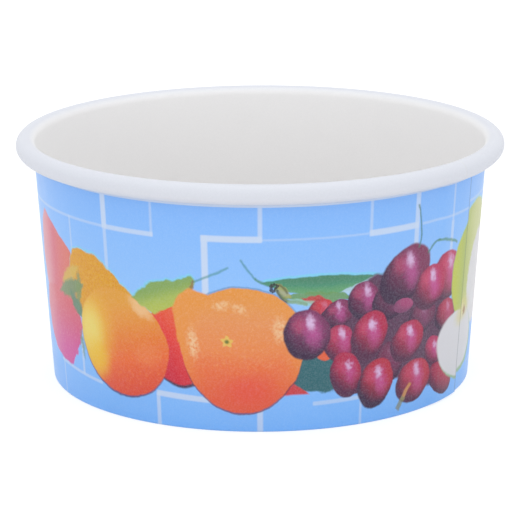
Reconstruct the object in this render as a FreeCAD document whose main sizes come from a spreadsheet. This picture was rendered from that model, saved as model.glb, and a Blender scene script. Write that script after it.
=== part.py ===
"""Low, wide paper dessert cup, in millimetres, +Z up, origin at the centre of the foot on the table.

Two pieces of board: a side wall, wrapped to a cone and lapped along one seam, with its top edge curled
outwards into the rim and its bottom edge folded inwards as a hem; and a round floor, whose edge is drawn
down as a skirt that is sealed between the wall and its hem.
"""

import FreeCAD, Part
import math
import os
import Sketcher

V = FreeCAD.Vector

SIZES = [
    # alias, value, what it is
    ("rim_diameter", 96.0, "outside of the rolled rim"),
    ("cup_height", 48.5, "foot to the top of the rim"),
    ("wall_taper", 3.8, "lean of the wall from vertical, degrees"),
    ("wall_board", 0.4, "thickness of the wall's board"),
    ("floor_board", 0.35, "thickness of the floor's board"),
    ("roll_height", 3.8, "outside diameter of the rim's first turn"),
    ("tuck_radius", 1.4, "outside radius of the rim's second turn"),
    ("tuck_turn", 190.0, "how far the second turn goes round, degrees"),
    ("seal_film", 0.03, "coating between sealed faces"),
    ("hem_height", 5.2, "foot to the hem's cut edge"),
    ("foot_flat", 0.35, "width of the flat ring that the cup stands on"),
    ("floor_recess", 6.2, "foot to the underside of the floor"),
    ("floor_bend", 0.9, "outside radius of the bend from floor to skirt"),
    ("lap_width", 8.0, "overlap of the side seam"),
    ("lap_ramp", 4.0, "length over which the outer layer climbs onto the inner one"),
    ("lap_tuck", 0.3, "how far the lap reaches up behind the rim's underside"),
    ("seam_angle", -26.0, "where the seam's outer edge lies, degrees from +X"),
]

doc = FreeCAD.newDocument("DessertCup")
sheet = doc.addObject("Spreadsheet::Sheet", "Sizes")
for row, (alias, value, note) in enumerate(SIZES, start=1):
    sheet.set(f"A{row}", str(value))
    sheet.setAlias(f"A{row}", alias)
    sheet.set(f"B{row}", note)
doc.recompute()


def value_of(formula):
    """What a formula of the sheet's cells comes to, as a number."""
    result = sheet.evalExpression(formula)
    return float(getattr(result, "Value", result))


class Outline:
    """A sketch whose dimensions are bound to the sheet's cells."""

    def __init__(self, body, name, plane_role, height=None):
        self.sketch = body.newObject("Sketcher::SketchObject", name)
        plane = next(f for f in body.Origin.OriginFeatures if f.Role == plane_role)
        self.sketch.AttachmentSupport = [(plane, "")]
        self.sketch.MapMode = "FlatFace"
        if height:
            self.sketch.setExpression("AttachmentOffset.Base.z", height)

    def line(self, start, end):
        return self.sketch.addGeometry(Part.LineSegment(V(*start, 0), V(*end, 0)))

    def arc(self, centre, radius, from_angle, to_angle):
        circle = Part.Circle(V(*centre, 0), V(0, 0, 1), radius)
        return self.sketch.addGeometry(Part.ArcOfCircle(circle, from_angle, to_angle))

    def point(self, place):
        made = self.sketch.addGeometry(Part.Point(V(*place, 0)))
        self.sketch.toggleConstruction(made)
        return made

    def rule(self, kind, *what):
        """A constraint with no size of its own."""
        return self.sketch.addConstraint(Sketcher.Constraint(kind, *what))

    def dimension(self, name, formula, kind, *what):
        """A constraint whose value follows the sheet. An angle's formula is in degrees."""
        value = value_of(formula)
        index = self.rule(kind, *what, math.radians(value) if kind == "Angle" else value)
        self.sketch.renameConstraint(index, name)
        self.sketch.setExpression(f"Constraints.{name}", formula)


# A sketch counts the points of an edge up from 1, and its own axes down from -1.
START, END, CENTRE = range(1, 4)
X_AXIS = -1
Y_AXIS = X_AXIS - 1
ORIGIN = (X_AXIS, START)

BOARD = "Sizes.wall_board"
RIM_CENTRE_R = "Sizes.rim_diameter / 2 - Sizes.roll_height / 2"
RIM_CENTRE_Z = "Sizes.cup_height - Sizes.roll_height / 2"
FOLD_RADIUS = "(2 * Sizes.wall_board + Sizes.floor_board + 2 * Sizes.seal_film - Sizes.foot_flat) / 2"
LAP_TOP = "Sizes.cup_height - Sizes.roll_height + Sizes.lap_tuck"
RAMP_WITH_SINK = 1.5  # a ramp that climbs one board, carried on down by half a board

taper = math.radians(value_of("Sizes.wall_taper"))
board = value_of(BOARD)
roll_radius = value_of("Sizes.roll_height / 2")
rim_centre = (value_of(RIM_CENTRE_R), value_of(RIM_CENTRE_Z))
up_wall = (math.sin(taper), math.cos(taper))
out_of_wall = (math.cos(taper), -math.sin(taper))


def moved(point, direction, distance):
    return (point[0] + direction[0] * distance, point[1] + direction[1] * distance)


def along_wall(point, height):
    """The point at that height on the line through point that runs up the wall's slope."""
    return moved(point, up_wall, (height - point[1]) / up_wall[1])


def wall_radius(height, depth="0"):
    """Formula for the radius of the wall's printed face at a height, or of a face that far inside it."""
    return (
        f"{RIM_CENTRE_R} - (Sizes.roll_height / 2 - {BOARD} + {depth}) / cos(Sizes.wall_taper * 1 deg)"
        f" - ({RIM_CENTRE_Z} - ({height})) * tan(Sizes.wall_taper * 1 deg)"
    )


def wall_section(body):
    """Section of the wall's board: hem, foot fold, wall and rolled rim, as one strip of even thickness."""
    o = Outline(body, "wall_section", "XZ_Plane")
    left, right, down = math.pi - taper, -taper, -math.pi / 2
    fold_radius = value_of(FOLD_RADIUS)
    inner_fold = fold_radius - board
    foot_out = (value_of(wall_radius(FOLD_RADIUS, FOLD_RADIUS)), fold_radius)
    foot_in = (foot_out[0] - value_of("Sizes.foot_flat"), fold_radius)
    tuck_radius = value_of("Sizes.tuck_radius")
    tuck_centre = (rim_centre[0], rim_centre[1] - roll_radius + tuck_radius)
    tuck_end = down - math.radians(value_of("Sizes.tuck_turn"))

    def on(centre, radius, angle):
        return (centre[0] + radius * math.cos(angle), centre[1] + radius * math.sin(angle))

    def top_of_hem(depth):
        return along_wall(moved(foot_in, out_of_wall, -depth), value_of("Sizes.hem_height"))

    # The printed side, from the hem's cut edge to the curl's cut edge.
    hem_inner = o.line(top_of_hem(fold_radius), moved(foot_in, out_of_wall, -fold_radius))
    fold_inner = o.arc(foot_in, fold_radius, left, down + 2 * math.pi)
    foot = o.line((foot_in[0], 0), (foot_out[0], 0))
    fold_outer = o.arc(foot_out, fold_radius, down, right)
    wall_outer = o.line(moved(foot_out, out_of_wall, fold_radius), on(rim_centre, roll_radius - board, left))
    curl_printed = o.arc(rim_centre, roll_radius - board, down, left)
    tuck_printed = o.arc(tuck_centre, tuck_radius - board, tuck_end, down)
    curl_edge = o.line(on(tuck_centre, tuck_radius - board, tuck_end), on(tuck_centre, tuck_radius, tuck_end))
    # The white side, back from the curl's cut edge to the hem's.
    tuck_white = o.arc(tuck_centre, tuck_radius, tuck_end, down)
    curl_white = o.arc(rim_centre, roll_radius, down, left)
    wall_inner = o.line(on(rim_centre, roll_radius, left), moved(foot_out, out_of_wall, inner_fold))
    slot_outer = o.arc(foot_out, inner_fold, down, right)
    slot = o.line((foot_out[0], board), (foot_in[0], board))
    slot_inner = o.arc(foot_in, inner_fold, left, down + 2 * math.pi)
    hem_outer = o.line(moved(foot_in, out_of_wall, -inner_fold), top_of_hem(inner_fold))
    hem_edge = o.line(top_of_hem(inner_fold), top_of_hem(fold_radius))

    for first, first_end, second, second_end in [
        (hem_inner, END, fold_inner, START),
        (fold_inner, END, foot, START),
        (foot, END, fold_outer, START),
        (fold_outer, END, wall_outer, START),
        (wall_outer, END, curl_printed, END),
        (curl_printed, START, tuck_printed, END),
        (tuck_white, END, curl_white, START),
        (curl_white, END, wall_inner, START),
        (wall_inner, END, slot_outer, END),
        (slot_outer, START, slot, START),
        (slot, END, slot_inner, END),
        (slot_inner, START, hem_outer, START),
    ]:
        o.rule("Tangent", first, first_end, second, second_end)
    for first, first_end, second, second_end in [
        (tuck_printed, START, curl_edge, START),
        (curl_edge, END, tuck_white, START),
        (hem_outer, END, hem_edge, START),
        (hem_edge, END, hem_inner, START),
        (curl_printed, CENTRE, curl_white, CENTRE),
        (tuck_printed, CENTRE, tuck_white, CENTRE),
        (fold_outer, CENTRE, slot_outer, CENTRE),
        (fold_inner, CENTRE, slot_inner, CENTRE),
    ]:
        o.rule("Coincident", first, first_end, second, second_end)
    o.rule("Horizontal", foot)
    o.rule("PointOnObject", foot, START, X_AXIS)
    o.rule("Equal", fold_inner, fold_outer)
    o.rule("Equal", slot_inner, slot_outer)
    o.rule("Parallel", hem_inner, wall_outer)
    o.rule("Parallel", hem_outer, wall_outer)
    o.rule("Perpendicular", hem_edge, hem_inner)
    o.rule("Vertical", curl_printed, CENTRE, tuck_printed, CENTRE)
    o.rule("PointOnObject", tuck_printed, CENTRE, curl_edge)

    o.dimension("foot_flat", "Sizes.foot_flat", "Distance", foot)
    o.dimension("fold", FOLD_RADIUS, "Radius", fold_outer)
    o.dimension("slot_fold", f"{FOLD_RADIUS} - {BOARD}", "Radius", slot_outer)
    o.dimension("slope", "90 - Sizes.wall_taper", "Angle", wall_outer)
    o.dimension("rim_r", RIM_CENTRE_R, "DistanceX", *ORIGIN, curl_printed, CENTRE)
    o.dimension("rim_z", RIM_CENTRE_Z, "DistanceY", *ORIGIN, curl_printed, CENTRE)
    o.dimension("roll_in", f"Sizes.roll_height / 2 - {BOARD}", "Radius", curl_printed)
    o.dimension("roll_out", "Sizes.roll_height / 2", "Radius", curl_white)
    o.dimension("tuck_in", f"Sizes.tuck_radius - {BOARD}", "Radius", tuck_printed)
    o.dimension("tuck_turn", "Sizes.tuck_turn", "Angle", tuck_printed)
    o.dimension("hem", "Sizes.hem_height", "DistanceY", *ORIGIN, hem_inner, START)
    return o.sketch


def floor_section(body):
    """Half section of the floor: a flat disc, a bend, and a skirt that follows the wall down into its fold."""
    o = Outline(body, "floor_section", "XZ_Plane")
    thick, bend = value_of("Sizes.floor_board"), value_of("Sizes.floor_bend")
    underside = value_of("Sizes.floor_recess")
    top = underside + thick
    right, up = -taper, math.pi / 2
    seated = f"{BOARD} + Sizes.seal_film"
    bend_height = "Sizes.floor_recess + Sizes.floor_board - Sizes.floor_bend"
    centre = (value_of(wall_radius(bend_height, f"{seated} + Sizes.floor_bend")), value_of(bend_height))
    outer_end = (value_of(wall_radius(seated, seated)), value_of(seated))
    inner_end = moved(outer_end, out_of_wall, -thick)

    rim_point = o.point(rim_centre)
    floor_top = o.line((0, top), (centre[0], top))
    bend_outer = o.arc(centre, bend, right, up)
    skirt_outer = o.line(outer_end, moved(centre, out_of_wall, bend))
    skirt_edge = o.line(inner_end, outer_end)
    skirt_inner = o.line(inner_end, moved(centre, out_of_wall, bend - thick))
    bend_inner = o.arc(centre, bend - thick, right, up)
    floor_under = o.line((0, underside), (centre[0], underside))
    axis = o.line((0, underside), (0, top))

    for first, first_end, second, second_end in [
        (floor_top, END, bend_outer, END),
        (bend_outer, START, skirt_outer, END),
        (skirt_inner, END, bend_inner, START),
        (bend_inner, END, floor_under, END),
    ]:
        o.rule("Tangent", first, first_end, second, second_end)
    for first, first_end, second, second_end in [
        (skirt_edge, END, skirt_outer, START),
        (skirt_edge, START, skirt_inner, START),
        (floor_under, START, axis, START),
        (axis, END, floor_top, START),
        (bend_outer, CENTRE, bend_inner, CENTRE),
    ]:
        o.rule("Coincident", first, first_end, second, second_end)
    o.rule("PointOnObject", axis, START, Y_AXIS)
    o.rule("Vertical", axis)
    o.rule("Horizontal", floor_top)
    o.rule("Horizontal", floor_under)
    o.rule("Parallel", skirt_inner, skirt_outer)
    o.rule("Perpendicular", skirt_edge, skirt_outer)

    o.dimension("rim_r", RIM_CENTRE_R, "DistanceX", *ORIGIN, rim_point, START)
    o.dimension("rim_z", RIM_CENTRE_Z, "DistanceY", *ORIGIN, rim_point, START)
    o.dimension("to_wall", "Sizes.roll_height / 2 + Sizes.seal_film", "Distance", rim_point, START, skirt_outer)
    o.dimension("slope", "90 - Sizes.wall_taper", "Angle", skirt_outer)
    o.dimension("underside", "Sizes.floor_recess", "DistanceY", *ORIGIN, floor_under, START)
    o.dimension("thick", "Sizes.floor_board", "DistanceY", axis, START, axis, END)
    o.dimension("bend", "Sizes.floor_bend", "Radius", bend_outer)
    o.dimension("skirt_end", seated, "DistanceY", *ORIGIN, skirt_outer, START)
    return o.sketch


def turned(body, name, sketch):
    """The section turned once round the cup's axis."""
    made = body.newObject("PartDesign::Revolution", name)
    made.Profile = sketch
    made.ReferenceAxis = (sketch, ["V_Axis"])
    made.Angle = 360.0
    return made


def seam_plan(body, name, height, depth, set_back, overlap):
    """Plan of one side of the seam at one height, at a face that lies depth inside the printed one.

    A step of one board stands on the plan's X axis, which is turned back by set_back millimetres round the
    wall. From the step the plan runs back at an even thickness along the overlap, if there is one, and then
    down a ramp. Half a board of it is sunk, so that the ramp meets the face at a plain angle.
    """
    o = Outline(body, name, "XY_Plane", height)
    face_formula = wall_radius(height, depth)
    face = value_of(face_formula)
    even_turn, set_back_turn, ramp_turn = [
        f"({arc}) / ({face_formula}) * 180 / pi"
        for arc in (overlap, set_back, f"{RAMP_WITH_SINK} * Sizes.lap_ramp")
    ]
    even_end = -math.radians(value_of(even_turn))
    ramp_end = even_end - math.radians(value_of(ramp_turn))
    low, high = face - board / 2, face + board

    def at(radius, angle):
        return (radius * math.cos(angle), radius * math.sin(angle))

    step = o.line((low, 0), (high, 0))
    sunk = o.arc((0, 0), low, ramp_end, 0)
    ramp = o.line(at(high, even_end), at(low, ramp_end))
    o.rule("Horizontal", step)
    o.rule("PointOnObject", step, START, X_AXIS)
    o.rule("Coincident", step, START, sunk, END)
    o.rule("Coincident", ramp, END, sunk, START)
    o.rule("Coincident", sunk, CENTRE, *ORIGIN)
    o.dimension("sunk", f"{face_formula} - {BOARD} / 2", "Radius", sunk)
    o.dimension("high", f"{face_formula} + {BOARD}", "DistanceX", *ORIGIN, step, END)
    o.dimension("back", f"{even_turn} + {ramp_turn}", "Angle", sunk)
    if even_end:
        even = o.arc((0, 0), high, even_end, 0)
        o.rule("Coincident", even, CENTRE, *ORIGIN)
        o.rule("Coincident", step, END, even, END)
        o.rule("Coincident", ramp, START, even, START)
        o.dimension("even", even_turn, "Angle", even)
    else:
        o.rule("Coincident", step, END, ramp, START)
    o.sketch.setExpression("AttachmentOffset.Rotation.Angle", f"-({set_back_turn})")
    return o.sketch


def seam_side(kind, name, depth, set_back, overlap):
    """The seam's plan, drawn from the foot's fold up to just behind the rim's underside."""
    low, high = [
        seam_plan(side_wall, f"{name}_{where}", height, depth, set_back, overlap)
        for where, height in (("low", FOLD_RADIUS), ("high", LAP_TOP))
    ]
    made = side_wall.newObject(f"PartDesign::{kind}Loft", name)
    made.Profile = low
    made.Sections = [high]
    made.Ruled = True
    doc.recompute()
    return side_wall.Shape.Volume


side_wall = doc.addObject("PartDesign::Body", "side_wall")
turned(side_wall, "wall_ring", wall_section(side_wall))
doc.recompute()
ring_volume = side_wall.Shape.Volume
# The seam: the outer layer climbs over the inner one, which begins as a step inside the cup.
lapped_volume = seam_side("Additive", "outer_layer", "0", "0", "Sizes.lap_width")
wall_volume = seam_side("Subtractive", "under_outer_layer", BOARD, "Sizes.lap_width", "0")
side_wall.Placement = FreeCAD.Placement(V(0, 0, 0), FreeCAD.Rotation(V(0, 0, 1), value_of("Sizes.seam_angle")))
side_wall.setExpression("Placement.Rotation.Angle", "Sizes.seam_angle")

base_disc = doc.addObject("PartDesign::Body", "base_disc")
turned(base_disc, "floor_and_skirt", floor_section(base_disc))
doc.recompute()

for made in doc.Objects:
    if {"Invalid", "Error"} & set(made.State):
        raise RuntimeError(f"{made.Name} did not build: {made.State}")
    if made.isDerivedFrom("Sketcher::SketchObject") and not made.FullyConstrained:
        raise RuntimeError(f"{made.Name} is not fully constrained")
if lapped_volume <= ring_volume:
    raise RuntimeError("the seam's outer layer added nothing")
if wall_volume >= lapped_volume:
    raise RuntimeError("the space under the seam's outer layer was not cut")
pieces = [side_wall, base_disc]
for piece in pieces:
    if piece.Shape.isNull() or not piece.Shape.isValid() or len(piece.Shape.Solids) != 1:
        raise RuntimeError(f"{piece.Label} is not one valid solid")

os.makedirs("parts", exist_ok=True)
for piece in pieces:
    piece.Shape.exportStep(f"parts/{piece.Label}.step")
    print(f"{piece.Label}: {piece.Shape.Volume:.1f} cubic mm")
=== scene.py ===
"""Paper dessert cup: a printed side wall with a rolled rim, and a white floor disc, on a pale floor."""

import math

import bpy
from mathutils import Matrix, Vector


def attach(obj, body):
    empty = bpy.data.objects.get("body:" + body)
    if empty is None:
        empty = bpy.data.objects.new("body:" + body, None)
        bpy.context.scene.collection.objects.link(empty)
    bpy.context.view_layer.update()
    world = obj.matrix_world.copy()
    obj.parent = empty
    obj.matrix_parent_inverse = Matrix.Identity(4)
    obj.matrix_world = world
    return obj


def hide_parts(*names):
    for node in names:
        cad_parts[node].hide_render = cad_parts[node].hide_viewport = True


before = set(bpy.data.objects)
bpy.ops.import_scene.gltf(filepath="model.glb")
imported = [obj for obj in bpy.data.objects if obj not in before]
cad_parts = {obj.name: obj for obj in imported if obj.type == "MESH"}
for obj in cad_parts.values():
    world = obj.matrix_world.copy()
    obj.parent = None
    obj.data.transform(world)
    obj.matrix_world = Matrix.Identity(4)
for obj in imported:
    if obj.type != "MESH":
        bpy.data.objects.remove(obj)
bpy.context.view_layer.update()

MM = 0.001

# Sizes of the cup in millimetres, as in the CAD source
RIM_DIAMETER = 96.0
CUP_HEIGHT = 48.5
TAPER = math.radians(3.8)
BOARD = 0.4
FLOOR_BOARD = 0.35
ROLL_RADIUS = 1.9
TUCK_RADIUS = 1.4
TUCK_TURN = math.radians(190)
FILM = 0.03
HEM_HEIGHT = 5.2
FOOT_FLAT = 0.35
FLOOR_RECESS = 6.2
FLOOR_BEND = 0.9
LAP_WIDTH = 8.0
LAP_RAMP = 4.0
SEAM = 64.0  # degrees to the right of the front, which faces -Y

FOLD_RADIUS = (2 * BOARD + FLOOR_BOARD + 2 * FILM - FOOT_FLAT) / 2
RIM_CENTRE = (RIM_DIAMETER / 2 - ROLL_RADIUS, CUP_HEIGHT - ROLL_RADIUS)
UP_WALL = (math.sin(TAPER), math.cos(TAPER))
OUT_OF_WALL = (math.cos(TAPER), -math.sin(TAPER))
LEFT, RIGHT, DOWN = math.pi - TAPER, -TAPER, -math.pi / 2

# How finely the meshes are divided: columns round the cup, and steps along the parts of a section
COLUMNS = 480
FLOOR_COLUMNS = 240
WALL_STEPS, HEM_STEPS, FOLD_STEPS, SLOT_STEPS = 24, 8, 5, 3
CURL_STEPS, TUCK_STEPS, ROLL_STEPS = 20, 16, 36
FLOOR_STEPS, BEND_STEPS, SKIRT_STEPS = 20, 8, 6
SHARP_EDGE = math.radians(38)

# Details of the real board that only this model has, in millimetres
STEP_WIDTH = 0.06
STEP_EASE = 0.6
SEAM_RADIUS = 43.0
LAP_FADE = (44.8, 45.8)
KNURLS = 96
KNURL_DEPTH = 0.14
KNURL_ENDS = (0.7, HEM_HEIGHT - 0.3)
KNURL_EASE = 0.8
RIM_LAP_SHARE = 0.05
RIM_LAP_BULGE = 0.1
FLOOR_DOME = 0.35
# Radii over which the inside's colour, painted lighter as painted light, gives way to the rim's colour,
# painted darker as painted shade
LINING_LIGHT_ENDS = (44.2, 45.6)

# Where the inner layer's step starts and ends on the roll, in shares of its turn from its underside
ROLL_STEP_START = 0.25
ROLL_STEP_FULL = 0.72

# Print, in millimetres round the wall and up it
MM_PER_DEGREE = 0.7514
REPEAT = 180 * MM_PER_DEGREE
SEAM_MISMATCH = 1.0
MISMATCH_SPREAD = 211.0  # degrees


def moved(point, direction, distance):
    return (point[0] + direction[0] * distance, point[1] + direction[1] * distance)


def wall_radius(height, depth=0.0):
    """Radius of the wall's printed face at a height, or of a face that far inside it."""
    top = RIM_CENTRE[0] - (ROLL_RADIUS - BOARD + depth) / math.cos(TAPER)
    return top - (RIM_CENTRE[1] - height) * math.tan(TAPER)


def smooth(share):
    share = min(1.0, max(0.0, share))
    return share * share * (3 - 2 * share)


def line(start, end, count):
    return [tuple(a + (b - a) * i / count for a, b in zip(start, end)) for i in range(count + 1)]


def arc(centre, radius, start, end, count):
    angles = [start + (end - start) * i / count for i in range(count + 1)]
    return [(centre[0] + radius * math.cos(a), centre[1] + radius * math.sin(a)) for a in angles]


def wall_section():
    """The closed section of the wall's board, as runs of points. Each run starts where the last one ended."""
    foot_out = (wall_radius(FOLD_RADIUS, FOLD_RADIUS), FOLD_RADIUS)
    foot_in = (foot_out[0] - FOOT_FLAT, FOLD_RADIUS)
    slot_radius = FOLD_RADIUS - BOARD
    tuck_centre = (RIM_CENTRE[0], RIM_CENTRE[1] - ROLL_RADIUS + TUCK_RADIUS)
    tuck_end = DOWN - TUCK_TURN

    def top_of_hem(depth):
        start = moved(foot_in, OUT_OF_WALL, -depth)
        return moved(start, UP_WALL, (HEM_HEIGHT - start[1]) / UP_WALL[1])

    def foot(centre, radius, turn, count):
        return arc(centre, radius, *turn, count)

    inner_turn, outer_turn = (LEFT - 2 * math.pi, DOWN), (DOWN, RIGHT)
    hem_foot = moved(foot_in, OUT_OF_WALL, -FOLD_RADIUS)
    wall_foot = moved(foot_out, OUT_OF_WALL, FOLD_RADIUS)
    wall_top = moved(RIM_CENTRE, OUT_OF_WALL, BOARD - ROLL_RADIUS)
    inner_top = moved(RIM_CENTRE, OUT_OF_WALL, -ROLL_RADIUS)
    inner_foot = moved(foot_out, OUT_OF_WALL, slot_radius)
    slot_hem = moved(foot_in, OUT_OF_WALL, -slot_radius)
    tuck_faces = (TUCK_RADIUS - BOARD, TUCK_RADIUS)
    tuck = [arc(tuck_centre, radius, DOWN, tuck_end, TUCK_STEPS) for radius in tuck_faces]
    return [
        ("hem_printed", line(top_of_hem(FOLD_RADIUS), hem_foot, HEM_STEPS)),
        ("fold_in", foot(foot_in, FOLD_RADIUS, inner_turn, FOLD_STEPS)),
        ("foot", line((foot_in[0], 0.0), (foot_out[0], 0.0), 1)),
        ("fold_out", foot(foot_out, FOLD_RADIUS, outer_turn, FOLD_STEPS)),
        ("wall_printed", line(wall_foot, wall_top, WALL_STEPS)),
        ("curl_printed", arc(RIM_CENTRE, ROLL_RADIUS - BOARD, LEFT, DOWN, CURL_STEPS)),
        ("curl_printed", tuck[0]),
        ("curl_edge", line(tuck[0][-1], tuck[1][-1], 1)),
        ("tuck_white", tuck[1][::-1]),
        ("curl_white", arc(RIM_CENTRE, ROLL_RADIUS, DOWN, LEFT, ROLL_STEPS)),
        ("wall_white", line(inner_top, inner_foot, WALL_STEPS)),
        ("slot", foot(foot_out, slot_radius, outer_turn[::-1], SLOT_STEPS)),
        ("slot", line((foot_out[0], BOARD), (foot_in[0], BOARD), 1)),
        ("slot", foot(foot_in, slot_radius, inner_turn[::-1], SLOT_STEPS)),
        ("hem_white", line(slot_hem, top_of_hem(slot_radius), HEM_STEPS)),
        ("hem_edge", line(top_of_hem(slot_radius), top_of_hem(FOLD_RADIUS), 1)),
    ]


def pushes(run, point):
    """How the outer layer's lap, the inner layer's end and the knurling move a point of the section."""
    radius, height = point
    outer = inner = knurl = (0.0, 0.0)
    from_rim = math.atan2(height - RIM_CENTRE[1], radius - RIM_CENTRE[0])
    if run == "wall_printed":
        low, high = LAP_FADE
        share = BOARD * (1 - smooth((height - low) / (high - low)))
        outer = (OUT_OF_WALL[0] * share, OUT_OF_WALL[1] * share)
    elif run == "fold_out":
        share = BOARD * smooth(height / FOLD_RADIUS)
        outer = (OUT_OF_WALL[0] * share, 0.0)
    elif run in ("hem_printed", "fold_in"):
        share = BOARD * smooth(height / FOLD_RADIUS)
        outer = (-OUT_OF_WALL[0] * share, 0.0)
        if run == "hem_printed":
            low, high = KNURL_ENDS
            share = KNURL_DEPTH * smooth((height - low) / KNURL_EASE) * smooth((high - height) / KNURL_EASE)
            knurl = (OUT_OF_WALL[0] * share, 0.0)
    elif run == "wall_white":
        share = BOARD * smooth((height - FOLD_RADIUS) / STEP_EASE)
        inner = (OUT_OF_WALL[0] * share, OUT_OF_WALL[1] * share)
    elif run == "curl_white":
        turn = (from_rim - DOWN) / (LEFT - DOWN)
        onto_wall = smooth((turn - ROLL_STEP_FULL) / (1 - ROLL_STEP_FULL))
        share = RIM_LAP_SHARE + (1 - RIM_LAP_SHARE) * onto_wall
        share *= BOARD * smooth(turn / ROLL_STEP_START)
        inner = (-math.cos(from_rim) * share, -math.sin(from_rim) * share)
        bulge = RIM_LAP_BULGE * max(0.0, math.cos(from_rim))
        outer = (math.cos(from_rim) * bulge, math.sin(from_rim) * bulge)
    return outer, inner, knurl


def lap_at(angle):
    """Outer layer's rise and inner layer's lack at an angle from 64 to 424 degrees right of the front."""
    back = math.radians(SEAM + 360 - angle) * SEAM_RADIUS
    ramp = smooth((LAP_WIDTH + LAP_RAMP - back) / LAP_RAMP)
    outer = ramp if back >= 0 else 0.0
    inner = ramp if back > LAP_WIDTH else 0.0
    return outer, inner


def wall_angles():
    """Column angles, with a close pair at each step. At the seam that is the last and the first column."""
    step = math.degrees(STEP_WIDTH / SEAM_RADIUS)
    inner_end = SEAM + 360 - math.degrees(LAP_WIDTH / SEAM_RADIUS)
    pitch = 360 / COLUMNS
    even = [SEAM + i * pitch for i in range(1, COLUMNS)]
    clear = [a for a in even if abs(a - inner_end) > pitch / 3]
    return sorted(clear + [SEAM + step, inner_end - step / 2, inner_end + step / 2, SEAM + 360])


def placed(radius, height, angle):
    """A point in metres, at an angle in degrees to the right of the front."""
    turn = math.radians(angle - 90)
    return (radius * math.cos(turn) * MM, radius * math.sin(turn) * MM, height * MM)


PRINTED, WHITE, EDGE = range(3)
FACE_MATERIAL = {
    "hem_printed": PRINTED,
    "fold_in": PRINTED,
    "foot": PRINTED,
    "fold_out": PRINTED,
    "wall_printed": PRINTED,
    "curl_printed": PRINTED,
    "curl_edge": EDGE,
    "hem_edge": EDGE,
}
STEPPED_OUTSIDE = ("hem_printed", "fold_in", "fold_out", "wall_printed")
STEPPED_INSIDE = ("wall_white", "curl_white")


def finished_mesh(name, vertices, faces, materials, indices):
    mesh = bpy.data.meshes.new(name)
    mesh.from_pydata(vertices, [], faces)
    for material in materials:
        mesh.materials.append(material)
    mesh.polygons.foreach_set("material_index", indices)
    mesh.shade_smooth()
    mesh.set_sharp_from_angle(angle=SHARP_EDGE)
    mesh.update()
    mesh.validate()
    made = bpy.data.objects.new(name, mesh)
    bpy.context.scene.collection.objects.link(made)
    return made


def print_heights(section):
    """Height of each point on the print: as on the wall, and then on round the foot and up the hem."""
    heights = [point[1] for _, point in section]
    first = [run for run, _ in section].index("wall_printed")
    for i in range(first - 1, -1, -1):
        heights[i] = heights[i + 1] - math.dist(section[i][1], section[i + 1][1])
    return heights


def side_wall(materials):
    """The wall's board swept round the cup, lapped at the seam and knurled inside the hem."""
    section = [(run, point) for run, points in wall_section() for point in points[:-1]]
    moves = [pushes(run, point) for run, point in section]
    heights = print_heights(section)
    angles = wall_angles()
    count = len(section)
    vertices = []
    for angle in angles:
        outer, inner = lap_at(angle)
        knurl = smooth(0.5 - 0.5 * math.cos(math.radians(angle * KNURLS)))
        for (run, (radius, height)), (by_outer, by_inner, by_knurl) in zip(section, moves):
            push = [a * outer + b * inner + c * knurl for a, b, c in zip(by_outer, by_inner, by_knurl)]
            vertices.append(placed(radius + push[0], height + push[1], angle))

    lengths = [math.dist(section[i][1], section[(i + 1) % count][1]) for i in range(count)]
    along = [sum(lengths[:i]) / sum(lengths) for i in range(count + 1)]
    faces, indices, prints, unrolled = [], [], [], []
    for column, angle in enumerate(angles):
        after = (column + 1) % len(angles)
        at_seam = after == 0
        next_angle = angles[after] + (360 if at_seam else 0)
        at_inner_end = lap_at(angle)[1] > 0.5 and not lap_at(next_angle)[1]
        for row, (run, _) in enumerate(section):
            up = (row + 1) % count
            corners = [(column, row), (after, row), (after, up), (column, up)]
            faces.append([c * count + r for c, r in corners])
            stepped = (at_seam and run in STEPPED_OUTSIDE) or (at_inner_end and run in STEPPED_INSIDE)
            indices.append(EDGE if stepped else FACE_MATERIAL.get(run, WHITE))
            for c, r in corners:
                unrolled.append(((column + (c != column)) / len(angles), along[row + (r != row)]))
                turn = angle if c == column else next_angle
                shift = SEAM_MISMATCH * (1 - smooth((turn - SEAM) / MISMATCH_SPREAD))
                prints.append((turn * MM_PER_DEGREE, heights[r] - shift))
    made = finished_mesh("side_wall_board", vertices, faces, materials, indices)
    for name, pairs in (("print_mm", prints), ("OFBake", unrolled)):
        layer = made.data.uv_layers.new(name=name)
        layer.data.foreach_set("uv", [value for pair in pairs for value in pair])
    return made


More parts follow.
